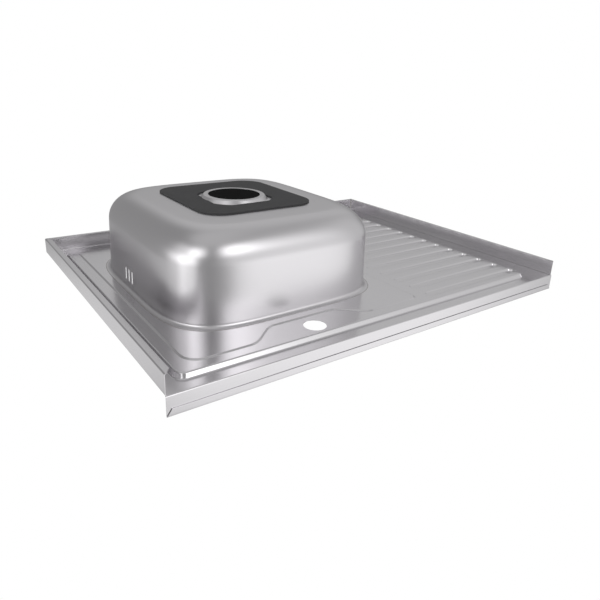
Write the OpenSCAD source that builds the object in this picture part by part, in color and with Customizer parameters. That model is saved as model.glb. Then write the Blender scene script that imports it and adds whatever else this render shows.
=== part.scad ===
// Lay-on kitchen sink: pressed stainless drainboard deck with a deep-drawn bowl at its left.
// Shown as it is used: +Z is up, the tap ledge and upstand are at the rear (+Y), the bowl is at -X.
// The origin lies on the underside of the rim, midway along the rear rim.

/* [Sheet] */
// Width of the sink, along its rear edge
sink_w = 800; // [760:5:900]
// Depth of the sink, from rear edge to front edge
sink_d = 600; // [580:5:640]
// Thickness of the stainless sheet
sheet = 0.8; // [0.6:0.1:1.0]
// Inside radius of the folded edges
fold_r = 1.2; // [0.8:0.1:2]

/* [Skirt and upstand] */
// Height of the skirt that hangs over the cabinet at the left, right and front
skirt_h = 29; // [24:0.5:40]
// Width of the flange turned in along the lower edge of the skirt
flange_w = 10; // [6:0.5:12]
// Gap of the open mitre between two flanges
mitre_gap = 1.6; // [1:0.2:3]
// Height of the upstand along the rear edge
upstand_h = 28; // [20:0.5:40]
// Height of the safety hem folded down behind the upstand
hem_h = 10; // [6:0.5:14]
// Air gap inside the hem
hem_gap = 0.5; // [0.3:0.1:1]

/* [Rim and deck] */
// Flat width of the rim at the rear
rim_rear = 22; // [18:1:26]
// Flat width of the rim at the left
rim_left = 22; // [16:1:30]
// Flat width of the rim at the right, beyond the flutes
rim_right = 52; // [30:1:60]
// Flat width of the rim at the front
rim_front = 40; // [25:1:50]
// Drop from the rim to the deck
deck_drop = 7; // [6:0.5:9]
// Plan radius of the deck's corners, at the rim
deck_corner_r = 18; // [14:1:24]
// Inside radius of the pressed bends at the deck's edge
bend_r = 2.5; // [2:0.1:3]
// Slope of the deck's edge, from the horizontal
edge_angle = 60; // [50:1:70]

/* [Bowl surround] */
// Distance from the left edge to the sunk surround of the bowl
surround_left = 48; // [42:1:54]
// Distance from the left edge to the surround's right end
surround_right = 466; // [462:1:474]
// Distance from the rear edge to the surround
surround_rear = 46; // [42:1:52]
// Distance from the front edge to the surround
surround_front = 52; // [50:1:56]
// Drop from the deck to the surround
surround_drop = 1.8; // [1.4:0.1:2.4]
// Corner radius of the surround at its left
surround_left_r = 25; // [15:1:30]
// Corner radius of the surround at its right
surround_right_r = 12; // [8:1:16]

/* [Tap ledge] */
// Distance from the left edge to the tap hole
tap_x = 254; // [235:1:275]
// Distance from the rear edge to the tap hole
tap_y = 51; // [50:0.5:54]
// Diameter of the tap hole
tap_d = 35; // [28:0.5:36]
// Distance from the rear edge to the front of the tap ledge
ledge_front = 81; // [76:1:84]
// Width of the tap ledge along its straight front
ledge_w = 105; // [80:1:120]
// Run of the curved shoulder at each end of the ledge
shoulder_run = 60; // [40:1:62]

/* [Flutes] */
// Distance from the left edge to the flutes' rounded ends
flute_left = 492; // [482:1:520]
// Distance from the rear edge to the first flute's centre line
flute_first = 48; // [46:1:50]
// Distance between two flutes
flute_pitch = 36.8; // [32:0.2:42]
// Width of a flute at the deck
flute_w = 19; // [15:0.5:22]
// Rise of a flute at its rounded end
flute_rise = 1.7; // [1.4:0.1:2.4]
// Rise of a flute where its ramp to the rim begins
flute_rise_right = 3; // [2.5:0.1:4]
// Length of the ramp towards the deck's right end, by which a flute's rise grows
flute_ramp = 26; // [20:1:40]
// Rise that a flute would reach at the deck's right end, as a share of the deck's drop
flute_rise_share = 0.85; // [0.7:0.05:0.9]
// Distance from the deck's right end to the flutes' rounded right ends
flute_tip = 5; // [4:0.5:12]

/* [Bowl] */
// Distance from the left edge to the bowl's centre
bowl_x = 258; // [257:0.5:260]
// Distance from the rear edge to the bowl's centre
bowl_y = 300; // [296:1:304]
// Outside width of the bowl below its mouth
bowl_w = 378; // [350:1:380]
// Outside depth, front to back, of the bowl below its mouth
bowl_d = 394; // [360:1:396]
// Distance from the rim's underside to the bottom of the bowl
bowl_h = 147; // [120:1:200]
// Squareness of the bowl's plan outline, 2 being an ellipse
bowl_squareness = 4.55; // [4:0.05:6]
// Draw radius under the deck, at the mouth
mouth_r = 6; // [4:0.5:8]
// Taper of each wall over the height of the bowl
wall_taper = 2; // [0:0.5:8]
// Outside radius between wall and bottom
bottom_r = 48; // [30:1:60]

/* [Drain] */
// Diameter of the drain hole
drain_d = 90; // [85:1:94]
// Outside diameter of the sunk seat round the drain hole, at the bowl's bottom
seat_d = 116; // [108:1:124]
// Depth of the drain seat below the bowl's bottom
seat_drop = 7; // [4:0.5:9]
// Run of the seat's sloping wall
seat_slope = 5; // [3:0.5:6]

/* [Overflow] */
// Width, along the wall, of the raised field that holds the slots
field_w = 60; // [50:1:70]
// Height of the raised field
field_h = 34; // [28:1:36]
// Rise of the field, outwards from the mouth of the bowl
field_rise = 1.5; // [0.8:0.1:2.5]
// Number of overflow slots
slot_count = 3; // [2:1:4]
// Width of a slot
slot_w = 4; // [3:0.5:5]
// Height of a slot
slot_h = 22; // [14:1:26]
// Distance between two slots
slot_pitch = 14; // [10:1:18]
// Distance from the rim's underside to the slots' middle
slot_z = 33; // [28:1:40]
// Distance of the slots' middle from the bowl's centre, towards the front
slot_y = 12; // [0:1:20]

/* [Seam weld] */
// Width of the butt weld between the deck and the bowl
seam_w = 1.2; // [1:0.1:2]
// Crown of the weld below the sheet
seam_crown = 0.3; // [0.2:0.1:0.5]
// Leg of the weld bead inside a skirt's corner
bead_leg = 2; // [1.5:0.1:3]

/* [Sound pad] */
// Width of the sound-deadening pad
pad_w = 209; // [190:1:215]
// Depth of the pad, front to back
pad_d = 220; // [210:1:235]
// Thickness of the pad
pad_t = 2.5; // [1.5:0.5:4]
// Corner radius of the pad
pad_r = 40; // [20:1:45]
// Diameter of the pad's hole round the drain seat
pad_hole_d = 131; // [126:1:140]
// Offset of the pad's outline from the drain, to the right
pad_off_x = 4; // [0:1:8]
// Offset of the pad's outline from the drain, to the front
pad_off_y = 10; // [0:1:12]

/* [Hidden] */

$fn = 96;
// Overrun of every cut
over = 1;
// Points on each bend of an outline
bend_steps = 4;
// Points round the bowl, and rings on its mouth and bottom bends
bowl_pts = 72;
mouth_steps = 4;
bottom_steps = 8;
// Points along a curved shoulder and a flute's ramp
curve_steps = 8;

// Outside radius of the folded edges
fold_out = fold_r + sheet;
// Distance from the hem's back to the upstand's back
hem_t = sheet + hem_gap;
upstand_y = hem_t;
// How far the hem's ends slant inwards, as a share of its height
hem_slant_share = 0.7;
// Level of the deck's and the surround's undersides
deck_z = -deck_drop;
surround_z = deck_z - surround_drop;
// Steel colours
steel = [0.76, 0.77, 0.78];
weld_steel = [0.66, 0.67, 0.68];
pad_black = [0.10, 0.10, 0.11];

// Place of a point given from the left edge and the rear edge
function at_x(u) = u - sink_w / 2;
function at_y(v) = rim_rear / 2 - v;
// Smooth step from 0 to 1
function smooth(s) = s * s * (3 - 2 * s);

// Outline of a rounded rectangle whose corners have their own radii, in the order
// front left, front right, rear right, rear left
function rounded_outline(x0, y0, x1, y1, r) =
    [for (c = [[x0 + r[0], y0 + r[0], r[0], 180], [x1 - r[1], y0 + r[1], r[1], 270],
               [x1 - r[2], y1 - r[2], r[2], 0], [x0 + r[3], y1 - r[3], r[3], 90]])
        for (i = [0 : 2 * bend_steps])
            let (a = c[3] + 90 * i / (2 * bend_steps))
            [c[0] + c[2] * cos(a), c[1] + c[2] * sin(a)]];

// The deck's edge in section: a bend at the rim, a slope and a bend at the deck.
// r is the distance of the upper bend from the corner's centre, o the depth below the upper face.
bend_sum = 2 * bend_r + sheet;
slope_len = (deck_drop - bend_sum * (1 - cos(edge_angle))) / sin(edge_angle);
edge_run = bend_sum * sin(edge_angle) + slope_len * cos(edge_angle);
function edge_profile(r, o) = concat(
    [for (i = [0 : bend_steps])
        let (a = edge_angle * i / bend_steps)
        [r - (bend_r + sheet - o) * sin(a), -bend_r + (bend_r + sheet - o) * cos(a)]],
    [for (i = [bend_steps : -1 : 0])
        let (a = edge_angle * i / bend_steps)
        [r - edge_run + (bend_r + o) * sin(a), sheet - deck_drop + bend_r - (bend_r + o) * cos(a)]]);

// Half section of the pressed-down deck as a solid, closed above the rim
function pan_half(r, o) = concat([[0, sheet + over], [r, sheet + over]], edge_profile(r, o),
                                 [[0, sheet - deck_drop - o]]);

// The hollow of the deck: four turned corners and two crossing bars
module deck_pan(o) {
    x0 = at_x(rim_left);
    x1 = at_x(sink_w - rim_right);
    y0 = at_y(sink_d - rim_front);
    y1 = at_y(rim_rear);
    r = deck_corner_r;
    for (x = [x0 + r, x1 - r], y = [y0 + r, y1 - r])
        translate([x, y, 0]) rotate_extrude() polygon(pan_half(r, o));
    translate([x0 + r, (y0 + y1) / 2, 0]) rotate([90, 0, 90])
        linear_extrude(x1 - x0 - 2 * r) pan_section((y1 - y0) / 2, o);
    translate([(x0 + x1) / 2, y1 - r, 0]) rotate([90, 0, 0])
        linear_extrude(y1 - y0 - 2 * r) pan_section((x1 - x0) / 2, o);
}

// Full section of the pressed-down deck
module pan_section(half, o) {
    side = edge_profile(half, o);
    polygon(concat([[half, sheet + over]], side,
                   [for (i = [len(side) - 1 : -1 : 0]) [-side[i][0], side[i][1]]],
                   [[-half, sheet + over]]));
}

// The sunk surround of the bowl, with the tap ledge left standing in it
module surround(o) {
    r_left = surround_left_r + o;
    r_right = surround_right_r + o;
    translate([0, 0, surround_z + sheet - o]) linear_extrude(surround_drop + deck_drop)
        difference() {
            polygon(rounded_outline(at_x(surround_left) - o, at_y(sink_d - surround_front) - o,
                                    at_x(surround_right) + o, at_y(surround_rear) + o,
                                    [r_left, r_right, r_right, r_left]));
            tap_ledge(o);
        }
}

// Plan of the tap ledge: a straight front between two S-shaped shoulders
module tap_ledge(o) {
    half = ledge_w / 2 - o;
    y_rear = at_y(surround_rear);
    y_front = at_y(ledge_front) + o;
    side = [for (i = [0 : curve_steps])
        let (s = i / curve_steps)
        [half + shoulder_run * (1 - s), y_rear + (y_front - y_rear) * smooth(s)]];
    translate([at_x(tap_x), 0])
        polygon(concat([[half + shoulder_run, y_rear + 2 * sheet]], side,
                       [for (i = [curve_steps : -1 : 0]) [-side[i][0], side[i][1]]],
                       [[-half - shoulder_run, y_rear + 2 * sheet]]));
}

// Number of flutes that fit between the first one and the deck's front edge
flute_count = floor((sink_d - rim_front - edge_run - flute_first - flute_w / 2 - bend_r) / flute_pitch) + 1;
flute_end = sink_w - rim_right;

// The flutes seen from the side: a gentle rise, then a ramp towards the rim
module flute_side(o) {
    floor_z = sheet - deck_drop;
    rise_end = deck_drop * flute_rise_share;
    ramp = [for (i = [0 : curve_steps])
        let (s = i / curve_steps)
        [at_x(flute_end - flute_ramp * (1 - s)),
         floor_z - o + flute_rise_right + (rise_end - flute_rise_right) * smooth(s)]];
    polygon(concat([[at_x(flute_left) - over, floor_z - deck_drop],
                    [at_x(flute_left) - over, floor_z - o + flute_rise]], ramp,
                   [[at_x(flute_end), floor_z - deck_drop]]));
}

// Half the width of a flute at the deck; its lower face is narrower by the turn of the sheet
function flute_half(o) = flute_w / 2 - o * tan(edge_angle / 2);

// One flute without its top: walls at the slope of the deck's edge, rounded at both ends
module flute_walls(o) {
    floor_z = sheet - deck_drop - o;
    half = flute_half(o);
    lean = 1 / tan(edge_angle);
    x_left = at_x(flute_left + flute_w / 2);
    x_right = at_x(flute_end - flute_tip - flute_w / 2);
    translate([x_left, 0, floor_z]) rotate([90, 0, 90]) linear_extrude(x_right - x_left)
        polygon([[-half - over * lean, -over], [half + over * lean, -over],
                 [half - deck_drop * lean, deck_drop], [-half + deck_drop * lean, deck_drop]]);
    for (x = [x_left, x_right]) translate([x, 0, floor_z - over])
        cylinder(r1 = half + over * lean, r2 = half - deck_drop * lean, h = deck_drop + over);
}

// All the flutes under one rising surface
module flutes(o) {
    depth = flute_count * flute_pitch;
    intersection() {
        translate([0, at_y(flute_first - flute_pitch), 0]) rotate([90, 0, 0])
            linear_extrude(depth + flute_pitch) flute_side(o);
        for (i = [0 : flute_count - 1])
            translate([0, at_y(flute_first + i * flute_pitch), 0]) flute_walls(o);
    }
}

// Block inside the folded skirts, with its long edges rounded by the folds
module folded_block(o) {
    r = fold_out - o;
    z0 = -skirt_h + o;
    h = skirt_h + sheet - 2 * o;
    rear = at_y(upstand_y + fold_out) + (o > 0 ? over : 0);
    intersection() {
        translate([0, rear, z0]) rotate([90, 0, 0])
            linear_extrude(rear - at_y(sink_d) - o)
            translate([-sink_w / 2 + o, 0]) round_square(sink_w - 2 * o, h, r);
        translate([-sink_w / 2, at_y(sink_d) + o, z0]) rotate([90, 0, 90])
            linear_extrude(sink_w) round_square(sink_d + 2 * skirt_h, h, r);
    }
}

// Rectangle with four rounded corners, from its lower left corner
module round_square(w, h, r) {
    for (x = [r, w - r], y = [r, h - r]) translate([x, y]) circle(r);
    translate([r, 0]) square([w - 2 * r, h]);
    translate([0, r]) square([w, h - 2 * r]);
}

// Everything below the pressed surface: o = 0 for the upper face, o = sheet for the lower one
module below_surface(o) {
    difference() {
        folded_block(o);
        deck_pan(o);
        surround(o);
    }
    flutes(o);
}

// The opening left between the turned-in flanges, with slanting ends at the rear
module flange_opening() {
    x = sink_w / 2 - flange_w;
    y_front = at_y(sink_d - flange_w);
    y_end = at_y(flange_w + upstand_y + fold_out);
    translate([0, 0, -skirt_h - over]) linear_extrude(sheet + over + fold_out)
        polygon([[-x, y_front], [x, y_front], [x, y_end], [x + flange_w - fold_out, y_end + flange_w],
                 [-x - flange_w + fold_out, y_end + flange_w], [-x, y_end]]);
    for (s = [-1, 1])
        translate([s * x, y_front, -skirt_h - over]) rotate([0, 0, s > 0 ? -45 : -135])
            translate([-over, -mitre_gap / 2, 0])
            cube([flange_w * sqrt(2) + over - fold_out, mitre_gap, sheet + over + fold_out - fold_r]);
}

// The rear upstand: a bend up from the rim, a plain sheet, and the hem closed behind it
module upstand() {
    translate([-sink_w / 2, at_y(upstand_y + fold_out), 0]) rotate([90, 0, 90]) linear_extrude(sink_w) {
        translate([0, fold_out]) quarter_ring(fold_r, fold_out);
        translate([fold_r, fold_out]) square([sheet, upstand_h - fold_out - hem_t / 2]);
    }
    hem();
}

// Quarter of a ring, from straight down to straight out along +X
module quarter_ring(r_in, r_out) {
    intersection() {
        difference() {
            circle(r_out);
            circle(r_in);
        }
        translate([0, -r_out]) square(r_out);
    }
}

// The hem: a half round over the upstand's top edge and a flap down its back, cut slanting at its ends
module hem() {
    r_in = hem_gap / 2;
    r_out = r_in + sheet;
    y_mid = at_y(upstand_y) + r_in;
    top = upstand_h - r_out;
    difference() {
        translate([-sink_w / 2, 0, 0]) rotate([90, 0, 90]) linear_extrude(sink_w) {
            translate([y_mid, top]) intersection() {
                difference() {
                    circle(r_out);
                    circle(r_in);
                }
                translate([-r_out, 0]) square([2 * r_out, r_out]);
            }
            translate([y_mid - r_out, top - hem_gap]) square([sheet, hem_gap]);
            translate([y_mid + r_in, top + r_out - hem_h]) square([sheet, hem_h - r_out]);
        }
        for (s = [-1, 1]) translate([s * sink_w / 2, y_mid, 0]) rotate([-90, 0, 0])
            linear_extrude(hem_t + over)
            polygon([[s * over, -upstand_h], [0, -upstand_h],
                     [-s * hem_h * hem_slant_share, hem_h - upstand_h + over],
                     [s * over, hem_h - upstand_h + over]]);
    }
}

// Plan outline of the bowl, drawn in by inset from the outside of the wall
function bowl_outline(inset, n) =
    [for (i = [0 : bowl_pts - 1])
        let (a = 360 * (i + 0.5) / bowl_pts, c = cos(a), s = sin(a))
        [(bowl_w / 2 - inset) * sign(c) * pow(abs(c), 2 / n),
         (bowl_d / 2 - inset) * sign(s) * pow(abs(s), 2 / n)]];

// The bowl's section, as [inset, height] of the outer face, from the weld at the mouth to the bottom.
// o moves it inwards by the sheet's thickness.
wall_foot = -bowl_h + bottom_r;
function bowl_section(o) = concat(
    [[-mouth_r - sheet, surround_z + o]],
    [for (i = [0 : mouth_steps])
        let (a = 90 * i / mouth_steps)
        [-mouth_r + (mouth_r + o) * sin(a), surround_z - mouth_r + (mouth_r + o) * cos(a)]],
    [for (i = [0 : bottom_steps])
        let (a = 90 * i / bottom_steps)
        [wall_taper + bottom_r - (bottom_r - o) * cos(a), wall_foot - (bottom_r - o) * sin(a)]]);

module bowl_shell() {
    outer = bowl_section(0);
    inner = bowl_section(sheet);
    rings = concat(outer, [for (i = [len(inner) - 1 : -1 : 0]) inner[i]]);
    m = len(rings);
    half = len(outer);
    points = [for (q = rings) for (p = bowl_outline(q[0], bowl_squareness)) [p[0], p[1], q[1]]];
    sides = [for (k = [0 : m - 1]) if (k != half - 1)
        for (i = [0 : bowl_pts - 1])
            let (j = (i + 1) % bowl_pts, a = k * bowl_pts, b = ((k + 1) % m) * bowl_pts)
            each [[a + i, b + j, a + j], [a + i, b + i, b + j]]];
    lower = [for (i = [0 : bowl_pts - 1]) (half - 1) * bowl_pts + i];
    upper = [for (i = [bowl_pts - 1 : -1 : 0]) half * bowl_pts + i];
    polyhedron(points, concat(sides, [lower, upper]));
}

// Sunk seat round the drain hole, turned
module drain_seat() {
    rotate_extrude() polygon([
        [seat_d / 2 + sheet, -bowl_h], [seat_d / 2 + sheet, -bowl_h + sheet],
        [seat_d / 2, -bowl_h + sheet], [seat_d / 2 - seat_slope, -bowl_h - seat_drop + sheet],
        [drain_d / 2, -bowl_h - seat_drop + sheet], [drain_d / 2, -bowl_h - seat_drop],
        [seat_d / 2 - seat_slope + sheet / 2, -bowl_h - seat_drop], [seat_d / 2 + sheet / 2, -bowl_h]]);
}

// An oblong with round ends, from end to end along Y, standing off the left wall between two distances
module on_left_wall(from, to, y, w, h) {
    r = min(w, h) / 2;
    translate([-bowl_w / 2 - to, y, -slot_z]) rotate([90, 0, 90]) linear_extrude(to - from) {
        square([w - (w > h ? 2 * r : 0), h - (h > w ? 2 * r : 0)], center = true);
        for (s = [-1, 1]) translate([w > h ? s * (w / 2 - r) : 0, h > w ? s * (h / 2 - r) : 0]) circle(r);
    }
}

module overflow_slots() {
    for (i = [0 : slot_count - 1])
        on_left_wall(-wall_taper - 2 * over, field_rise + over,
                     -slot_y + (i - (slot_count - 1) / 2) * slot_pitch, slot_w, slot_h);
}

// Hole in the deck that the welded bowl fills
module bowl_opening() {
    translate([at_x(bowl_x), at_y(bowl_y), surround_z - over])
        linear_extrude(sheet + 2 * over)
        polygon(bowl_outline(-mouth_r - sheet - seam_w, bowl_squareness));
}

// Pressed and folded stainless top: rim, stepped deck, flutes, tap hole, skirts and upstand
module sink_top() {
    color(steel) {
        difference() {
            below_surface(0);
            below_surface(sheet);
            flange_opening();
            bowl_opening();
            translate([at_x(tap_x), at_y(tap_y), deck_z - over]) cylinder(d = tap_d, h = sheet + 2 * over);
        }
        upstand();
    }
}

// Deep-drawn bowl with its drain seat and the raised field with the overflow slots
module bowl() {
    color(steel) translate([at_x(bowl_x), at_y(bowl_y), 0]) {
        difference() {
            union() {
                bowl_shell();
                on_left_wall(-wall_taper, field_rise, -slot_y, field_w, field_h);
            }
            on_left_wall(-wall_taper - 2 * over, field_rise - sheet, -slot_y,
                         field_w - 2 * sheet, field_h - 2 * sheet);
            translate([0, 0, -bowl_h - over]) cylinder(d = seat_d + 2 * sheet, h = sheet + 2 * over);
            overflow_slots();
        }
        drain_seat();
    }
}

// Butt weld between the deck and the bowl, dressed flat above
module bowl_seam_weld() {
    color(weld_steel) translate([at_x(bowl_x), at_y(bowl_y), surround_z - seam_crown])
        linear_extrude(sheet + seam_crown) difference() {
            polygon(bowl_outline(-mouth_r - sheet - seam_w, bowl_squareness));
            polygon(bowl_outline(-mouth_r - sheet, bowl_squareness));
        }
}

// Weld beads that close the two front corners of the skirt, on the inside
module skirt_corner_welds() {
    z0 = -skirt_h + fold_out;
    color(weld_steel) for (s = [-1, 1])
        translate([s * (sink_w / 2 - sheet), at_y(sink_d - sheet), z0])
            linear_extrude(skirt_h - 2 * fold_out)
            polygon([[0, 0], [-s * bead_leg, 0], [0, bead_leg]]);
}

// Sound-deadening pad stuck under the bowl
module sound_pad() {
    color(pad_black) translate([at_x(bowl_x), at_y(bowl_y), -bowl_h - pad_t])
        linear_extrude(pad_t) difference() {
            translate([-pad_w / 2 + pad_off_x, -pad_d / 2 - pad_off_y]) round_square(pad_w, pad_d, pad_r);
            circle(d = pad_hole_d);
        }
}

sink_top();
bowl();
bowl_seam_weld();
skirt_corner_welds();
sound_pad();
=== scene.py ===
import math

import bmesh
import bpy
from mathutils import Matrix, Vector, geometry


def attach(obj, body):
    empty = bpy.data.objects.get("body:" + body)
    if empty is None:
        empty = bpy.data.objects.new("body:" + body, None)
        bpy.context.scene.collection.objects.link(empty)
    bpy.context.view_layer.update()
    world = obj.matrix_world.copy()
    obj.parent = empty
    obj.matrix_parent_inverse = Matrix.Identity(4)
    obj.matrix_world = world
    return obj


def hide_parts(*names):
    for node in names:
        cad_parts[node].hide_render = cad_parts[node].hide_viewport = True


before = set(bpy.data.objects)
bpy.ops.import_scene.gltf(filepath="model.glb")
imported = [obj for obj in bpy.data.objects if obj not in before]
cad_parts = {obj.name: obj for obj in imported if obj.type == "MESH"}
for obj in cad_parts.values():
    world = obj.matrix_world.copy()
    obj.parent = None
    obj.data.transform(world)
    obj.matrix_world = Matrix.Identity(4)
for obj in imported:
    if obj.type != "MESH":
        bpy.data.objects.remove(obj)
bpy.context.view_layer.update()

# Sink top: one sheet of 0.8 mm stainless steel. A press gives it the sunk deck, the bowl's
# surround with the tap ledge, and fourteen flutes; it is then folded down into skirts with
# turned-in flanges on three sides and up into a hemmed upstand at the rear.


class Wire:
    """A socket of a node tree: sums and products on it add Math nodes, node() adds any other."""

    def __init__(self, tree, socket=None):
        self.tree = tree
        self.socket = socket

    def node(self, kind, settings=None, sockets=None, out=0):
        new = self.tree.nodes.new(kind)
        for key, value in (settings or {}).items():
            setattr(new, key, value)
        for key, value in (sockets or {}).items():
            if isinstance(value, Wire):
                self.tree.links.new(value.socket, new.inputs[key])
            else:
                new.inputs[key].default_value = value
        return Wire(self.tree, new.outputs[out] if len(new.outputs) else None)

    def pick(self, key):
        """Another output of the node that this wire comes from."""
        return Wire(self.tree, self.socket.node.outputs[key])

    def math(self, operation, *others):
        wires = dict(enumerate((self,) + others))
        return self.node("ShaderNodeMath", {"operation": operation}, wires)

    def __add__(self, other):
        return self.math("ADD", other)

    def __sub__(self, other):
        return self.math("SUBTRACT", other)

    def __mul__(self, other):
        return self.math("MULTIPLY", other)

    def __truediv__(self, other):
        return self.math("DIVIDE", other)

    def __rsub__(self, other):
        return self * -1 + other

    def __rtruediv__(self, other):
        return self ** -1 * other

    def __pow__(self, power):
        return self.math("POWER", power)

    def __abs__(self):
        return self.math("ABSOLUTE")

    __radd__ = __add__
    __rmul__ = __mul__

    def least(self, other):
        return self.math("MINIMUM", other)

    def most(self, other):
        return self.math("MAXIMUM", other)

    def within(self, low, high):
        return self.most(low).least(high)

    def eased(self):
        """Smooth step from 0 to 1."""
        s = self.within(0, 1)
        return s * s * (3 - 2 * s)

    def reach(self, other):
        """Length of the hypotenuse of two legs."""
        return (self * self + other * other).math("SQRT")


def shape_tree(name, sizes):
    """A Geometry Nodes tree with one named input for each size, and those inputs as wires."""
    tree = bpy.data.node_groups.new(name, "GeometryNodeTree")
    tree.interface.new_socket("Geometry", in_out="INPUT", socket_type="NodeSocketGeometry")
    tree.interface.new_socket("Geometry", in_out="OUTPUT", socket_type="NodeSocketGeometry")
    for label in sizes:
        tree.interface.new_socket(label, in_out="INPUT", socket_type="NodeSocketFloat")
    start = Wire(tree).node("NodeGroupInput")
    return tree, {socket.name: Wire(tree, socket) for socket in start.socket.node.outputs if socket.name}


def end_tree(shaped, finish):
    """Ends a tree in Realize Instances and Set Material."""
    real = shaped.node("GeometryNodeRealizeInstances", {}, {0: shaped})
    dressed = real.node("GeometryNodeSetMaterial", {}, {"Geometry": real, "Material": finish})
    dressed.node("NodeGroupOutput", {}, {0: dressed})


def new_piece(name, points, faces):
    """An object at the origin from points in millimetres."""
    mesh = bpy.data.meshes.new(name)
    mesh.from_pydata([Vector(p) * 0.001 for p in points], [], faces)
    piece = bpy.data.objects.new(name, mesh)
    bpy.context.scene.collection.objects.link(piece)
    return piece


def add_shape(piece, tree, sizes):
    """Puts a tree on a piece and sets its named inputs, given in metres or as plain numbers."""
    shape = piece.modifiers.new(tree.name, "NODES")
    shape.node_group = tree
    for item in tree.interface.items_tree:
        if item.in_out == "INPUT" and item.name in sizes:
            shape[item.identifier] = float(sizes[item.name])


def settle(piece):
    """Turns a piece's modifiers into its plain mesh."""
    bpy.context.view_layer.update()
    seen = piece.evaluated_get(bpy.context.evaluated_depsgraph_get())
    old = piece.data
    mesh = bpy.data.meshes.new_from_object(seen)
    piece.modifiers.clear()
    piece.data = mesh
    mesh.name = piece.name
    bpy.data.meshes.remove(old)


def even_shading(piece, crease=35):
    """Smooth faces, sharp edges at cuts and creases, and normals that follow the large faces."""
    piece.data.shade_smooth()
    piece.data.set_sharp_from_angle(angle=math.radians(crease))
    weigh = piece.modifiers.new("even", "WEIGHTED_NORMAL")
    weigh.keep_sharp = True
    weigh.weight = 100
    settle(piece)


sheet = 0.8
fold_r = 1.2
# Lines at which the folds start, on the rim's underside
fold_x = 398.0
front_fold_y = -587.0
rear_fold_y = 7.7
skirt_foot = -27.0
flange_w = 8.0
# How much a flange's rear end slants back, and the open mitre between two flanges
flange_slant = 2.0
slit = 1.13
# The rim's inner edge, where the deck steps down
deck = (-378.0, -549.0, 348.0, -11.0)
deck_r = 18.0
deck_drop = 7.0
bend_upper = 2.5
bend_lower = 3.3
slope = math.radians(60)
edge_upper = bend_upper * math.sin(slope)
edge_lower = bend_lower * math.sin(slope)
edge_slope = (deck_drop - (bend_upper + bend_lower) * (1 - math.cos(slope))) / math.tan(slope)
edge_run = edge_upper + edge_slope + edge_lower
# The sunk surround: its box, its corner radii, the ledge and the width of its soft step
surround = (-352.0, -537.0, 66.0, -35.0)
surround_r_left = 25.0
surround_r_right = 12.0
surround_drop = 1.8
surround_soft = 3.2
surround_shift = 0.6
tap = (-146.0, -40.0)
tap_r = 17.5
ledge_y = -70.0
ledge_half = 52.5
shoulder = 60.0
# The flutes
flute_count = 14
flute_y = -37.0
flute_pitch = 36.8
flute_half = 9.5
flute_left = 92.0
flute_end = 348.0
flute_ramp = 26.0
flute_rise = 1.7
flute_rise_right = 3.0
flute_rise_end = 5.95
flute_tip = 5.0
wall_least = 2.2
wall_share = 0.55
# The bowl's mouth as the sheet meets it
bowl_x = -142.0
bowl_y = -289.0
bowl_half_w = 189.0
bowl_half_d = 197.0
bowl_square = 4.55
weld_in = -6.8
weld_out = -8.0
# Mark of the points that lie well clear of the surround's soft step
away = 50.0


def arc(x, y, r, start, end, steps):
    """Points on an arc, angles in degrees."""
    turns = [math.radians(start + (end - start) * i / steps) for i in range(steps + 1)]
    return [(x + r * math.cos(a), y + r * math.sin(a)) for a in turns]


def rounded(box, radii, inset, steps):
    """Outline of a rounded box drawn in by inset: corners front left, front right, rear right, rear left."""
    x0, y0, x1, y1 = box
    a, b, c, d = radii
    corners = [(x0 + a, y0 + a, a, 180), (x1 - b, y0 + b, b, 270),
               (x1 - c, y1 - c, c, 0), (x0 + d, y1 - d, d, 90)]
    return [p for x, y, r, turn in corners for p in arc(x, y, max(r - inset, 0.01), turn, turn + 90, steps)]


def bowl_reach(turn, inset):
    """Distance from the bowl's centre to its outline in the direction turn."""
    a, b = bowl_half_w - inset, bowl_half_d - inset
    squared = abs(math.cos(turn) / a) ** bowl_square + abs(math.sin(turn) / b) ** bowl_square
    return squared ** (-1 / bowl_square)


def bowl_line(turns, inset):
    reaches = [(t, bowl_reach(t, inset)) for t in turns]
    return [(bowl_x + reach * math.cos(t), bowl_y + reach * math.sin(t)) for t, reach in reaches]


def plan_turns(count, dense=()):
    """Directions round the bowl, closer where its outline turns and in each dense (from, to, extra)."""
    fine = 7200
    turns = [2 * math.pi * i / fine for i in range(fine + 1)]
    line = bowl_line(turns, 0)
    headings = [math.atan2(q[1] - p[1], q[0] - p[0]) for p, q in zip(line, line[1:])]
    weights = [0.0]
    for i in range(fine):
        step = math.dist(line[i], line[i + 1])
        turned = abs((headings[i] - headings[i - 1] + math.pi) % (2 * math.pi) - math.pi)
        extra = sum(more for low, high, more in dense if low < turns[i] < high)
        weights.append(weights[-1] + step / 1200 + turned / (2 * math.pi) + extra / fine)
    picked, k = [], 0
    for i in range(count):
        aim = weights[-1] * i / count
        while weights[k + 1] < aim:
            k += 1
        share = (aim - weights[k]) / (weights[k + 1] - weights[k])
        picked.append(turns[k] + share * (turns[k + 1] - turns[k]))
    return picked


def surround_outline():
    """The surround's outline with the tap ledge left out of it, close points in order."""
    y1 = surround[3]
    corner = rounded(surround, (surround_r_left, surround_r_right, surround_r_right, surround_r_left), 0, 8)
    curve = [(s / 14, s / 14 * s / 14 * (3 - 2 * s / 14)) for s in range(15)]
    right = [(tap[0] + ledge_half + shoulder * (1 - s), y1 + (ledge_y - y1) * e) for s, e in curve]
    left = [(2 * tap[0] - x, y) for x, y in reversed(right)]
    return corner[:27] + right + left + corner[27:]


def beside(outline, shift):
    """A closed outline moved inwards by shift."""
    moved = []
    for i, (x, y) in enumerate(outline):
        a, b = outline[i - 1], outline[(i + 1) % len(outline)]
        across = Vector((a[1] - b[1], b[0] - a[0])).normalized() * shift
        moved.append((x + across.x, y + across.y))
    return moved


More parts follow.
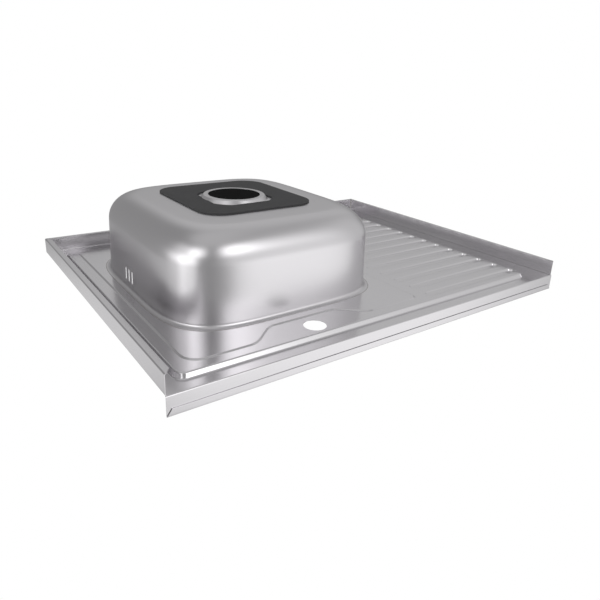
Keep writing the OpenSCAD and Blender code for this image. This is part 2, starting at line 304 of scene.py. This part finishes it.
def flute_wall(x):
    """Width of a flute's wall at a place along it."""
    climb = min(max((x - flute_end + flute_ramp) / flute_ramp, 0), 1)
    along = min(max((x - flute_left) / (flute_end - flute_ramp - flute_left), 0), 1)
    rise = flute_rise + (flute_rise_right - flute_rise) * along
    rise += (flute_rise_end - flute_rise_right) * climb * climb * (3 - 2 * climb)
    return wall_least + wall_share * rise


def flute_lines():
    """Lines that run along the flutes' walls and round both ends."""
    near_x = flute_left + flute_half
    far_x = flute_end - flute_tip - flute_half
    stations = [140, 180, 220, 260, 290, 310, 320, 323, 326, 329, 332]
    lines = []
    for k in range(7):
        share = k / 6
        for i in range(flute_count):
            y = flute_y - i * flute_pitch
            end = arc(near_x, y, flute_half - share * flute_wall(near_x), 90, 270, 16)
            near = [(x, y - flute_half + share * flute_wall(x)) for x in stations]
            far = [(x, 2 * y - w) for x, w in reversed(near)]
            nose = arc(far_x, y, flute_half - share * flute_wall(far_x), 270, 450, 20)
            lines.append(end + near + nose + far)
    return lines


def lay_out():
    """The flat blank: its points, faces, and each point's distance inside the surround's edge."""
    points, edges, inside = [], [], []

    def draw(line, closed, depth):
        first = len(points)
        points.extend(Vector(p) for p in line)
        inside.extend([depth] * len(line))
        edges.extend((first + i, first + i + 1) for i in range(len(line) - 1))
        if closed:
            edges.append((len(points) - 1, first))

    draw(side_line(), True, -away)
    for i in range(4):
        part = slope * i / 3
        for inset in (bend_upper * math.sin(part), edge_run - bend_lower * math.sin(part)):
            draw(rounded(deck, [deck_r] * 4, inset, 12), True, -away)
    for i in range(7):
        shift = surround_soft * (i / 6 - 0.5) - surround_shift
        draw(beside(surround_outline(), shift), True, shift)
    draw(bowl_line(plan_turns(256), weld_out), True, away)
    draw(arc(*tap, tap_r, 0, 360 - 3.75, 95), True, -away)
    for line in flute_lines():
        draw(line, True, -away)
    flat, _, faces, from_points, _, _ = geometry.delaunay_2d_cdt(points, edges, [], 0, 1e-4)
    depths = [inside[source[0]] if source else -away for source in from_points]
    kept = []
    for face in faces:
        centre = sum((flat[i] for i in face), Vector((0, 0))) / len(face)
        arm = centre - Vector((bowl_x, bowl_y))
        in_bowl = arm.length < bowl_reach(math.atan2(arm.y, arm.x), weld_out)
        if not in_bowl and (centre - Vector(tap)).length > tap_r:
            kept.append(list(face))
    return [(p.x, p.y, 0.0) for p in flat], kept, depths


def spaced(start, end, count):
    return [start + (end - start) * i / count for i in range(count + 1)]


side_y = spaced(rear_fold_y, front_fold_y, 24)
front_x = spaced(-fold_x, fold_x, 32)


def side_line():
    """The rim's outer edge, from the rear left corner round the front to the rear right one and back."""
    left = [(-fold_x, y) for y in side_y]
    front = [(x, front_fold_y) for x in front_x[1:-1]]
    right = [(fold_x, y) for y in reversed(side_y)]
    rear = [(x, rear_fold_y) for x in reversed(front_x[1:-1])]
    return left + front + right + rear


def grid_faces(first, rows, columns, flip):
    """Four-sided faces between neighbouring rows of points."""
    faces = []
    for r in range(rows - 1):
        for c in range(columns - 1):
            a = first + r * columns + c
            face = [a, a + 1, a + columns + 1, a + columns]
            faces.append(face[::-1] if flip else face)
    return faces


def skirt_section():
    """Distance outwards from the fold line and height, from the rim down to the flange's edge."""
    down = [(fold_r * math.sin(a), fold_r * math.cos(a) - fold_r) for a in spaced(0, math.pi / 2, 5)]
    under = [(fold_r * math.cos(a), skirt_foot - fold_r * math.sin(a)) for a in spaced(0, math.pi / 2, 5)]
    foot = skirt_foot - fold_r
    side = [(fold_r, z) for z in (-8.0, -17.0)]
    return down + side + under + [(-0.8, foot), (-4.0, foot), (-flange_w, foot)]


def folded_sides():
    """Skirts and flanges of the left, front and right sides."""
    points, faces = [], []
    section = skirt_section()
    slant = (flange_w + flange_slant) / flange_w

    def along(places, low, high):
        """The places with their first and last moved to low and high, the rest kept between them."""
        moved = [min(max(p, min(low, high)), max(low, high)) for p in places]
        return [low] + moved[1:-1] + [high]

    for side in (-1, 1):
        first = len(points)
        for out, z in section:
            gap = slit if out < -0.5 else 0
            rear = rear_fold_y + min(out, 0) * slant if z < skirt_foot else rear_fold_y
            for y in along(side_y, rear, front_fold_y - out + gap):
                points.append((side * (fold_x + out), y, z))
        faces += grid_faces(first, len(section), len(side_y), side < 0)
    first = len(points)
    for out, z in section:
        gap = slit if out < -0.5 else 0
        reach = fold_x + out - gap
        for x in along(front_x, -reach, reach):
            points.append((x, front_fold_y - out, z))
    faces += grid_faces(first, len(section), len(front_x), True)
    return points, faces


def upstand():
    """The bend up at the rear, the plain strip, and the hem folded over its back with slanting ends."""
    bend = fold_r + sheet
    crest, fold_z, hem_r = 28.0, 26.95, 0.25
    half_length, end_slant = 400.0, 0.7
    section = [(rear_fold_y + bend * math.sin(a), bend - bend * math.cos(a))
               for a in spaced(0, math.pi / 2, 6)]
    back = rear_fold_y + bend
    section += [(back, 10.0), (back, 19.0)]
    section += [(back + hem_r - hem_r * math.cos(a), fold_z + hem_r * math.sin(a))
                for a in spaced(0, math.pi, 6)]
    section += [(back + 2 * hem_r, z) for z in (24.0, 21.0, 18.0)]
    columns = [-half_length] + front_x + [half_length]
    points = []
    for y, z in section:
        end = half_length - (end_slant * (crest - z) if y > back + hem_r else 0)
        points += [(min(max(x, -end), end), y, z) for x in columns]
    return points, grid_faces(0, len(section), len(columns), False)


def press_tree(finish):
    """Presses the flat blank: the deck's step, the surround's soft step and the flutes."""
    sizes = {
        "Deck X": (deck[0] + deck[2]) / 2000, "Deck Y": (deck[1] + deck[3]) / 2000,
        "Deck Half X": (deck[2] - deck[0]) / 2000, "Deck Half Y": (deck[3] - deck[1]) / 2000,
        "Deck Corner": deck_r / 1000, "Deck Drop": deck_drop / 1000,
        "Upper Bend": bend_upper / 1000, "Lower Bend": bend_lower / 1000, "Slope": slope,
        "Surround Drop": surround_drop / 1000, "Surround Soft": surround_soft / 1000,
        "Surround Shift": surround_shift / 1000,
        "First Flute": flute_y / 1000, "Flute Pitch": flute_pitch / 1000, "Flute Count": flute_count,
        "Flute Half": flute_half / 1000, "Flute Left": flute_left / 1000, "Flute End": flute_end / 1000,
        "Flute Ramp": flute_ramp / 1000, "Rise Left": flute_rise / 1000,
        "Rise Right": flute_rise_right / 1000, "Rise End": flute_rise_end / 1000,
        "Flute Tip": flute_tip / 1000,
        "Wall Least": wall_least / 1000, "Wall Share": wall_share,
    }
    tree, given = shape_tree("press", sizes)
    place = Wire(tree).node("GeometryNodeInputPosition")
    x = place.node("ShaderNodeSeparateXYZ", {}, {0: place})
    y = x.pick("Y")

    # Depth of the deck's edge: a bend at the rim, a slope, a bend at the deck
    corner = given["Deck Corner"]
    past_x = abs(x - given["Deck X"]) - given["Deck Half X"] + corner
    past_y = abs(y - given["Deck Y"]) - given["Deck Half Y"] + corner
    outside = past_x.most(0).reach(past_y.most(0)) + past_x.most(past_y).least(0) - corner
    into = outside * -1
    sine, cosine = given["Slope"].math("SINE"), given["Slope"].math("COSINE")
    upper, lower = given["Upper Bend"], given["Lower Bend"]
    slope_run = (given["Deck Drop"] - (upper + lower) * (1 - cosine)) / sine * cosine

    def bend(radius, run):
        """Fall of a bend over the part of its run that is used."""
        used = run.within(0, radius * sine)
        return radius - (radius * radius - used * used).math("SQRT")

    whole = (upper + lower) * sine + slope_run
    straight = (into - upper * sine).within(0, slope_run) * sine / cosine
    fall = bend(upper, into) + straight + lower * (1 - cosine) - bend(lower, whole - into)
    deck_level = fall * -1

    # Height of the flutes over the deck: one rule for all, repeated by their pitch
    pitch, half = given["Flute Pitch"], given["Flute Half"]
    row = (given["First Flute"] + pitch / 2 - y) / pitch
    from_flute = abs(row.math("FRACT") - 0.5) * pitch
    turn_x = given["Flute Left"] + half
    far_turn_x = given["Flute End"] - given["Flute Tip"] - half
    past_wall = (turn_x - x).most(x - far_turn_x).most(0).reach(from_flute) - half
    ramp_x = given["Flute End"] - given["Flute Ramp"]
    along = ((x - given["Flute Left"]) / (ramp_x - given["Flute Left"])).within(0, 1)
    climb = ((x - ramp_x) / given["Flute Ramp"]).eased()
    rise = given["Rise Left"] + (given["Rise Right"] - given["Rise Left"]) * along
    rise = rise + (given["Rise End"] - given["Rise Right"]) * climb
    wall = given["Wall Least"] + given["Wall Share"] * rise
    in_rows = (row + 0.5).math("GREATER_THAN", 0) * (given["Flute Count"] + 0.5 - row).math("GREATER_THAN", 0)
    raised = (past_wall * -1 / wall).eased() * rise * in_rows
    flute_level = raised - given["Deck Drop"]

    # The surround's soft step, by each point's distance inside its edge
    inside = place.node(
        "GeometryNodeInputNamedAttribute", {"data_type": "FLOAT"}, {"Name": "inside_surround"})
    step = (inside + given["Surround Shift"]) / given["Surround Soft"]
    sunk = (step + 0.5).eased() * given["Surround Drop"]

    level = deck_level.most(flute_level) - sunk
    move = level.node("ShaderNodeCombineXYZ", {}, {"Z": level})
    pressed = move.node("GeometryNodeSetPosition", {}, {"Geometry": given["Geometry"], "Offset": move})
    end_tree(pressed, finish)
    return tree, sizes


def bare_finish(name):
    """A material with an empty tree, and the Object coordinates for its pattern."""
    finish = bpy.data.materials.new(name)
    finish.use_nodes = True
    finish.node_tree.nodes.clear()
    return finish, Wire(finish.node_tree).node("ShaderNodeTexCoord", out="Object")


def sheet_steel(name, rough):
    """Satin stainless sheet: cloudy gloss, faint rolling lines along X and a fine skin."""
    steel, space = bare_finish(name)
    cloud = space.node("ShaderNodeTexNoise", {}, {"Vector": space, "Scale": 9, "Detail": 4, "Roughness": 0.6})
    stretched = space.node("ShaderNodeMapping", {}, {"Vector": space, "Scale": (12, 900, 900)})
    lines = space.node("ShaderNodeTexNoise", {}, {"Vector": stretched, "Scale": 1, "Detail": 3})
    skin = space.node("ShaderNodeTexNoise", {}, {"Vector": space, "Scale": 700, "Detail": 2})
    waves = space.node("ShaderNodeTexNoise", {}, {"Vector": space, "Scale": 22, "Detail": 1})
    gloss = rough + (cloud - 0.5) * 0.05 + (lines - 0.5) * 0.04
    tone = cloud.node("ShaderNodeMix", {"data_type": "RGBA"}, {
        0: (lines * 0.6 + cloud * 0.4).within(0, 1),
        6: (0.707, 0.696, 0.710, 1), 7: (0.744, 0.729, 0.751, 1)}, out=2)
    height = waves * 0.0002 + (skin + lines) * 0.000003
    bump = height.node("ShaderNodeBump", {}, {"Strength": 0.02, "Distance": 1.0, "Height": height})
    metal = bump.node("ShaderNodeBsdfPrincipled", {}, {
        "Base Color": tone, "Metallic": 1.0, "Roughness": gloss, "Normal": bump})
    metal.node("ShaderNodeOutputMaterial", {}, {"Surface": metal})
    return steel


top_steel = sheet_steel("sheet_steel", 0.20)
blank_points, blank_faces, blank_depths = lay_out()
for more_points, more_faces in (folded_sides(), upstand()):
    blank_faces += [[i + len(blank_points) for i in face] for face in more_faces]
    blank_points += more_points
    blank_depths += [-away] * len(more_points)
sink_top = new_piece("pressed_top", blank_points, blank_faces)
depth_mark = sink_top.data.attributes.new("inside_surround", "FLOAT", "POINT")
depth_mark.data.foreach_set("value", [depth / 1000 for depth in blank_depths])
work = bmesh.new()
work.from_mesh(sink_top.data)
bmesh.ops.remove_doubles(work, verts=work.verts, dist=0.00002)
work.to_mesh(sink_top.data)
work.free()
add_shape(sink_top, *press_tree(top_steel))
thicken = sink_top.modifiers.new("thickness", "SOLIDIFY")
thicken.thickness = sheet / 1000
thicken.offset = 1
thicken.use_even_offset = True
settle(sink_top)
even_shading(sink_top)
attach(sink_top, "root")
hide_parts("sink_top")

# Bowl: deep-drawn from the same 0.8 mm sheet, with bulged sides, a large bottom radius, a sunk
# seat round the waste hole, and a raised field with three overflow slots pressed in its left wall.

bowl_h = -147.0
mouth_r = 6.0
mouth_z = -8.8
wall_taper = 2.0
bottom_r = 48.0
seat_r = 58.0
seat_in = 53.0
seat_z = -154.0
seat_bend = 2.0
drain_r = 45.0
field_y = bowl_y - 12.0
field_z = -33.0
field_straight = 13.0
field_r = 17.0
field_rise = 0.9
field_soft = 6.0
field_foot = -52.0
slot_pitch = 14.0
slot_w = 4.0
slot_h = 22.0


def bowl_section():
    """Rows of the bowl's outer face: inset of its outline, share and radius of the round seat, height."""
    rows = [(weld_in, mouth_z), (-mouth_r - 0.4, mouth_z)]
    rows += [(-mouth_r + mouth_r * math.sin(a), mouth_z - mouth_r + mouth_r * math.cos(a))
             for a in spaced(0, math.pi / 2, 8)]
    wall_top, wall_foot = mouth_z - mouth_r, bowl_h + bottom_r
    heights = spaced(wall_top, field_foot, 24)[1:] + spaced(field_foot, wall_foot, 5)[1:-1]
    rows += [(wall_taper * (wall_top - z) / (wall_top - wall_foot), z) for z in heights]
    rows += [(wall_taper + bottom_r - bottom_r * math.cos(a), wall_foot - bottom_r * math.sin(a))
             for a in spaced(0, math.pi / 2, 16)]
    section = [(inset, 0.0, seat_r, z) for inset, z in rows]
    # Over the flat bottom the squared outline turns into the round one of the seat
    inner = wall_taper + bottom_r
    section += [(inner + 4, 0.06, seat_r, bowl_h), (inner + 20, 0.35, seat_r + 20, bowl_h),
                (inner + 40, 0.75, seat_r + 10, bowl_h)]
    lean = math.atan2(seat_r - seat_in, bowl_h - seat_z)
    turn = math.pi / 2 - lean
    cut = seat_bend * math.tan(turn / 2)
    section += [(0, 1.0, seat_r + cut - seat_bend * math.sin(a), bowl_h - seat_bend + seat_bend * math.cos(a))
                for a in spaced(0, turn, 4)]
    section += [(0, 1.0, seat_in - cut + seat_bend * math.sin(a),
                 seat_z + seat_bend - seat_bend * math.cos(a)) for a in spaced(turn, 0, 4)]
    return section + [(0, 1.0, 48.5, seat_z), (0, 1.0, drain_r, seat_z)]


def ring_grid(name, turns, section, closed):
    """A grid of turns by section rows, with what the draw tree needs kept on its points."""
    rows, count = len(section), len(turns)
    faces = []
    for r in range(rows if closed else rows - 1):
        for c in range(count):
            a, b = r * count, (r + 1) % rows * count
            faces.append((a + c, b + c, b + (c + 1) % count, a + (c + 1) % count))
    piece = new_piece(name, [(0, 0, 0)] * (rows * count), faces)
    columns = {"turn": [turn for row in section for turn in turns]}
    kept = (("inset", 1000), ("roundness", 1), ("radius", 1000), ("height", 1000))
    for place, (key, scale) in enumerate(kept):
        columns[key] = [row[place] / scale for row in section for _ in turns]
    for key, values in columns.items():
        piece.data.attributes.new(key, "FLOAT", "POINT").data.foreach_set("value", values)
    return piece


def draw_tree(finish):
    """Draws a grid out to the bowl: squared outlines that turn round at the seat, and the raised field."""
    sizes = {
        "Centre X": bowl_x / 1000, "Centre Y": bowl_y / 1000, "Half Width": bowl_half_w / 1000,
        "Half Depth": bowl_half_d / 1000, "Squareness": bowl_square, "Field Y": field_y / 1000,
        "Field Z": field_z / 1000, "Field Straight": field_straight / 1000, "Field Radius": field_r / 1000,
        "Field Rise": field_rise / 1000, "Field Soft": field_soft / 1000,
    }
    tree, given = shape_tree("draw", sizes)
    wire = Wire(tree)
    turn, inset, roundness, radius, height = (
        wire.node("GeometryNodeInputNamedAttribute", {"data_type": "FLOAT"}, {"Name": key})
        for key in ("turn", "inset", "roundness", "radius", "height"))
    sine, cosine = turn.math("SINE"), turn.math("COSINE")
    power = given["Squareness"]
    squared = (abs(cosine) / (given["Half Width"] - inset)) ** power
    squared = (squared + (abs(sine) / (given["Half Depth"] - inset)) ** power) ** (-1 / power)
    reach = squared + (radius - squared) * roundness
    x, y = given["Centre X"] + reach * cosine, given["Centre Y"] + reach * sine
    along = (abs(y - given["Field Y"]) - given["Field Straight"]).most(0)
    past = along.reach(height - given["Field Z"]) - given["Field Radius"]
    at_left = (given["Centre X"] - x).math("GREATER_THAN", 0) * (1 - roundness)
    raised = (past * -1 / given["Field Soft"]).eased() * given["Field Rise"] * at_left
    place = x.node("ShaderNodeCombineXYZ", {}, {"X": x - raised, "Y": y, "Z": height})
    drawn = place.node("GeometryNodeSetPosition", {}, {"Geometry": given["Geometry"], "Position": place})
    end_tree(drawn, finish)
    return tree, sizes


def face_outwards(piece):
    work = bmesh.new()
    work.from_mesh(piece.data)
    bmesh.ops.recalc_face_normals(work, faces=work.faces)
    work.to_mesh(piece.data)
    work.free()


def oblong_cutter(y, z, w, h):
    """A bar along X through the bowl's left wall, with the outline of a slot."""
    r = w / 2
    outline = arc(y, z + h / 2 - r, r, 0, 180, 10) + arc(y, z - h / 2 + r, r, 180, 360, 10)
    x0, count = bowl_x - bowl_half_w, len(outline)
    points = [(x0 + x, *p) for x in (-10, 10) for p in outline]
    sides = [(i, (i + 1) % count, count + (i + 1) % count, count + i) for i in range(count)]
    ends = [tuple(range(count))[::-1], tuple(range(count, 2 * count))]
    cutter = new_piece("slot_cutter", points, sides + ends)
    face_outwards(cutter)
    return cutter


bowl_steel = sheet_steel("drawn_steel", 0.31)
field_turn = math.pi + math.atan2(bowl_y - field_y, bowl_half_w)
field_span = 34 / bowl_half_w
turns_round = plan_turns(288, [(field_turn - field_span, field_turn + field_span, 2.2)])
bowl = ring_grid("drawn_bowl", turns_round, bowl_section(), False)
draw, draw_sizes = draw_tree(bowl_steel)
add_shape(bowl, draw, draw_sizes)
wall = bowl.modifiers.new("thickness", "SOLIDIFY")
wall.thickness = sheet / 1000
wall.offset = -1
wall.use_even_offset = True
cutters = [oblong_cutter(field_y + (i - 1) * slot_pitch, field_z, slot_w, slot_h) for i in range(3)]
for cutter in cutters:
    cut = bowl.modifiers.new("slot", "BOOLEAN")
    cut.operation = "DIFFERENCE"
    cut.solver = "EXACT"
    cut.object = cutter
settle(bowl)
for cutter in cutters:
    bpy.data.objects.remove(cutter)
even_shading(bowl)
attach(bowl, "root")
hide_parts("bowl")

# Seam weld: the bowl is butt-welded into the top, and the seam is dressed flush above and leaves
# a low crown of weld steel below.

seam_crown = 0.3


def seam_section():
    """Rows round the weld: flat above, crowned below."""
    middle, half = (weld_in + weld_out) / 2, (weld_in - weld_out) / 2
    crown = [(middle - half * math.cos(a), mouth_z - seam_crown * math.sin(a)) for a in spaced(0, math.pi, 6)]
    rows = [(weld_out, mouth_z + sheet)] + crown + [(weld_in, mouth_z + sheet)]
    return [(inset, 0.0, 0.0, z) for inset, z in rows]


def weld_steel():
    """Weld metal: duller and rougher than the sheet, with a light heat tint in its ripples."""
    steel, space = bare_finish("weld_metal")
    grain = space.node("ShaderNodeTexNoise", {}, {"Vector": space, "Scale": 900, "Detail": 3})
    cloud = space.node("ShaderNodeTexNoise", {}, {"Vector": space, "Scale": 60, "Detail": 2})
    tint = cloud.node("ShaderNodeMix", {"data_type": "RGBA"}, {
        0: cloud, 6: (0.50, 0.47, 0.43, 1), 7: (0.68, 0.68, 0.69, 1)}, out=2)
    height = grain * 0.00003
    bump = height.node("ShaderNodeBump", {}, {"Strength": 0.6, "Distance": 1.0, "Height": height})
    metal = bump.node("ShaderNodeBsdfPrincipled", {}, {
        "Base Color": tint, "Metallic": 1.0, "Roughness": 0.36 + grain * 0.2, "Normal": bump})
    metal.node("ShaderNodeOutputMaterial", {}, {"Surface": metal})
    return steel


weld_finish = weld_steel()
seam = ring_grid("seam_weld", turns_round, seam_section(), True)
add_shape(seam, draw_tree(weld_finish)[0], draw_sizes)
settle(seam)
even_shading(seam)
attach(seam, "root")
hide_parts("bowl_seam_weld")

# Corner welds: a rippled fillet bead up the inside of each front corner of the skirt, where the
# folded sides meet.

bead_leg = 2.0
bead_low = -27.0
bead_high = -2.0
bead_ripple = 1.6


def bead_tree(finish):
    """Swells a plain fillet into the overlapping ripples that a welding torch leaves."""
    sizes = {"Leg": bead_leg / 1000, "Ripple": bead_ripple / 1000, "Corner Y": (front_fold_y - fold_r) / 1000}
    tree, given = shape_tree("ripple", sizes)
    place = Wire(tree).node("GeometryNodeInputPosition")
    x = place.node("ShaderNodeSeparateXYZ", {}, {0: place})
    across = x.pick("Y") - given["Corner Y"]
    wave = (x.pick("Z") - across * across / given["Leg"] * 0.6) / given["Ripple"]
    swell = 1 - abs(wave.math("FRACT") - 0.5) * 0.3
    outward = x / abs(x)
    corner_x = outward * (fold_x + fold_r) / 1000
    moved = x.node("ShaderNodeCombineXYZ", {}, {
        "X": corner_x + (x - corner_x) * swell, "Y": given["Corner Y"] + across * swell, "Z": x.pick("Z")})
    rippled = moved.node("GeometryNodeSetPosition", {}, {"Geometry": given["Geometry"], "Position": moved})
    end_tree(rippled, finish)
    return tree, sizes


def bead(side):
    """A fillet up one corner: points of its section repeated up its height, closed at both ends."""
    corner = (side * (fold_x + fold_r), front_fold_y - fold_r)
    fan = [(0.0, 0.0)] + [(bead_leg * (1 - s) ** 0.8, bead_leg * s ** 0.8) for s in spaced(0, 1, 6)]
    levels = spaced(bead_low, bead_high, 64)
    points = [(corner[0] - side * p[0], corner[1] + p[1], z) for z in levels for p in fan]
    faces = grid_faces(0, len(levels), len(fan), side > 0)
    closing = [(r * len(fan) + len(fan) - 1, r * len(fan), (r + 1) * len(fan), (r + 2) * len(fan) - 1)
               for r in range(len(levels) - 1)]
    ends = [tuple(range(len(fan))), tuple(range(len(points) - 1, len(points) - len(fan) - 1, -1))]
    return points, faces + closing + ends


bead_points, bead_faces = bead(-1)
more_points, more_faces = bead(1)
bead_faces += [[i + len(bead_points) for i in face] for face in more_faces]
beads = new_piece("corner_welds", bead_points + more_points, bead_faces)
face_outwards(beads)
add_shape(beads, *bead_tree(weld_finish))
settle(beads)
even_shading(beads, 60)
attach(beads, "root")
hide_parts("skirt_corner_welds")

# Sound pad: a die-cut bitumen rubber sheet with rounded corners, stuck under the bowl to deaden
# it. A hole in it leaves the seat of the waste free.

pad_half_w = 104.5
pad_half_d = 110.0
pad_r = 40.0
pad_t = 2.5
pad_hole_r = 65.5
pad_x = bowl_x + 4.0
pad_y = bowl_y - 10.0
pad_edge = 0.5


def pad_rubber():
    """Matt bitumen rubber: near black, dusty in patches, with a fine pitted skin."""
    rubber, space = bare_finish("damping_pad")
    dust = space.node("ShaderNodeTexNoise", {}, {"Vector": space, "Scale": 35, "Detail": 5, "Roughness": 0.7})
    pits = space.node("ShaderNodeTexNoise", {}, {"Vector": space, "Scale": 1400, "Detail": 3})
    tone = dust.node("ShaderNodeMix", {"data_type": "RGBA"}, {
        0: (dust * 0.7 + pits * 0.3).within(0, 1),
        6: (0.032, 0.032, 0.034, 1), 7: (0.115, 0.115, 0.118, 1)}, out=2)
    height = pits * 0.00012 + dust * 0.0004
    bump = height.node("ShaderNodeBump", {}, {"Strength": 0.5, "Distance": 1.0, "Height": height})
    skin = bump.node("ShaderNodeBsdfPrincipled", {}, {
        "Base Color": tone, "Roughness": 0.62 + dust * 0.2, "Normal": bump, "Specular IOR Level": 0.35})
    skin.node("ShaderNodeOutputMaterial", {}, {"Surface": skin})
    return rubber


def pad_sheet():
    """The pad's rings, from its hole over the lower face to its edge and back over the upper face."""
    box = (pad_x - pad_half_w, pad_y - pad_half_d, pad_x + pad_half_w, pad_y + pad_half_d)
    steps = 16
    count = 4 * (steps + 1)
    outline = rounded(box, [pad_r] * 4, 0, steps)
    hole = []
    for x, y in outline:
        turn = math.atan2(y - bowl_y, x - bowl_x)
        hole.append((math.cos(turn), math.sin(turn)))
    top, low = bowl_h, bowl_h - pad_t
    bevel = [(pad_edge * (1 - math.sin(a)), pad_edge * (1 - math.cos(a))) for a in spaced(0, math.pi / 2, 4)]
    rings = [(1, 0.0, top)] + [(1, back, low + up) for back, up in reversed(bevel)]
    rings += [(0, back, low + up) for back, up in bevel] + [(0, 0.0, top)]
    points = []
    for at_hole, back, z in rings:
        if at_hole:
            reach = pad_hole_r + back
            points += [(bowl_x + reach * x, bowl_y + reach * y, z) for x, y in hole]
        else:
            points += [(x, y, z) for x, y in rounded(box, [pad_r] * 4, back, steps)]
    faces = []
    for r in range(len(rings)):
        for c in range(count):
            a, b = r * count, (r + 1) % len(rings) * count
            faces.append((a + c, a + (c + 1) % count, b + (c + 1) % count, b + c))
    return points, faces


pad = new_piece("sound_pad_sheet", *pad_sheet())
face_outwards(pad)
pad.data.materials.append(pad_rubber())
even_shading(pad, 40)
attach(pad, "root")
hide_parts("sound_pad")

# Studio: a plain pale floor, as far below as a kitchen's is, soft light, and the camera where the
# photographer stood, with the sink upside down in its view. A black card in the drain hole, within
# the sheet's thickness, is painted shade: it stands for the unlit inside of a bowl that lies on its mouth.

floor_z = -850.0
floor_reach = 2400.0
shade_card_gap = 0.05
shade_card_lift = 0.6


def plain_sheet(name, outline, z, shade, gloss):
    """A flat grey sheet that belongs to the studio, from its outline in millimetres."""
    held = new_piece(name, [(x, y, z) for x, y in outline], [tuple(range(len(outline)))])
    paint = bpy.data.materials.new(name)
    paint.use_nodes = True
    skin = paint.node_tree.nodes["Principled BSDF"].inputs
    skin["Base Color"].default_value = (shade, shade, shade, 1)
    skin["Roughness"].default_value = 0.7
    skin["Specular IOR Level"].default_value = gloss
    held.data.materials.append(paint)
    return held


corners = [(floor_reach * x, floor_reach * y) for x, y in ((-1, -1), (1, -1), (1, 1), (-1, 1))]
floor = plain_sheet("floor", corners, floor_z, 0.88, 0.5)
floor.visible_glossy = False
disc = arc(bowl_x, bowl_y, drain_r - shade_card_gap, 0, 354, 59)
# Painted shade: a near-black card over the drain hole in place of the bowl's unlit inside
drain_shade_card = plain_sheet("painted_drain_shade", disc, seat_z + shade_card_lift, 0.02, 0.0)

# Plain colours, as a shop's photo has them: the white ground is left to burn out
bpy.context.scene.view_settings.view_transform = "Standard"
world = bpy.data.worlds.new("studio")
bpy.context.scene.world = world
world.use_nodes = True
world.node_tree.nodes.clear()
sky = Wire(world.node_tree).node("ShaderNodeTexCoord", out="Generated")
sky_x = sky.node("ShaderNodeSeparateXYZ", {}, {0: sky})
sky_y, sky_z = sky_x.pick("Y"), sky_x.pick("Z")


def panel(turn, edge, core, low, high):
    """A soft upright panel round the direction turn, in degrees from +X, between two heights of the sky."""
    aim = Vector((math.cos(math.radians(turn)), math.sin(math.radians(turn))))
    facing = (sky_x * aim.x + sky_y * aim.y) / (sky_x * sky_x + sky_y * sky_y + 0.0001).math("SQRT")
    wide, narrow = math.cos(math.radians(edge)), math.cos(math.radians(core))
    across = ((facing - wide) / (narrow - wide)).eased()
    return across * ((sky_z - low) / 0.2).eased() * ((high - sky_z) / 0.2).eased()


# Faint light all round, more of it straight above and below
light = (1 - ((sky_z - 0.45) / 0.3).eased()) * 0.32 + ((sky_z - 0.6) / 0.3).eased() * 0.9
light = light + ((0 - sky_z - 0.8) / 0.15).eased() * 0.25
# Panels behind the sink, for the bowl's rear wall, the step of the deck and the upstand
light = light + panel(75, 22, 6, -0.90, -0.25) * 1.45
light = light + panel(68, 26, 8, -0.85, 0.40) * 0.35
light = light + panel(68, 42, 15, -0.85, 0.40) * 0.2
light = light + panel(52, 32, 10, 0.10, 0.75) * 0.8
light = light + panel(20, 45, 15, -0.90, 0.30) * 0.33
# Panels at the left, for the bowl's left wall and its corner and for the left skirt
light = light + panel(150, 30, 10, -0.90, -0.30) * 1.15
light = light + panel(168, 30, 10, -0.45, 0.50) * 0.85
light = light + panel(175, 45, 15, -0.85, 0.20) * 0.55
light = light + panel(-165, 26, 8, -0.30, 0.45) * 0.5
light = light + panel(-115, 45, 15, 0.20, 0.70) * 0.4
# A low panel in front, for the underside of the deck
light = light + panel(-50, 45, 15, -0.95, -0.15) * 0.27
# The camera itself sees plain white behind the sink
seen = light.node("ShaderNodeLightPath", out="Is Camera Ray")
glow = light + (1 - light) * seen
backdrop = glow.node("ShaderNodeBackground", {}, {"Color": (1, 1, 1, 1), "Strength": glow})
backdrop.node("ShaderNodeOutputWorld", {}, {"Surface": backdrop})

lens = bpy.data.cameras.new("camera")
lens.sensor_fit = "HORIZONTAL"
lens.angle = math.radians(57.706)
lens.shift_x = 0.019
lens.shift_y = -0.066
lens.clip_start = 0.01
camera = bpy.data.objects.new("camera", lens)
right = Vector((0.820189, 0.571009, -0.035189))
up = Vector((0.160844, -0.289188, -0.943663))
back = Vector((-0.549017, 0.768322, -0.329032))
stand = Matrix.Translation((-0.60289, 0.52649, -0.35943))
camera.matrix_world = stand @ Matrix((right, up, back)).transposed().to_4x4()
bpy.context.scene.collection.objects.link(camera)
bpy.context.scene.camera = camera
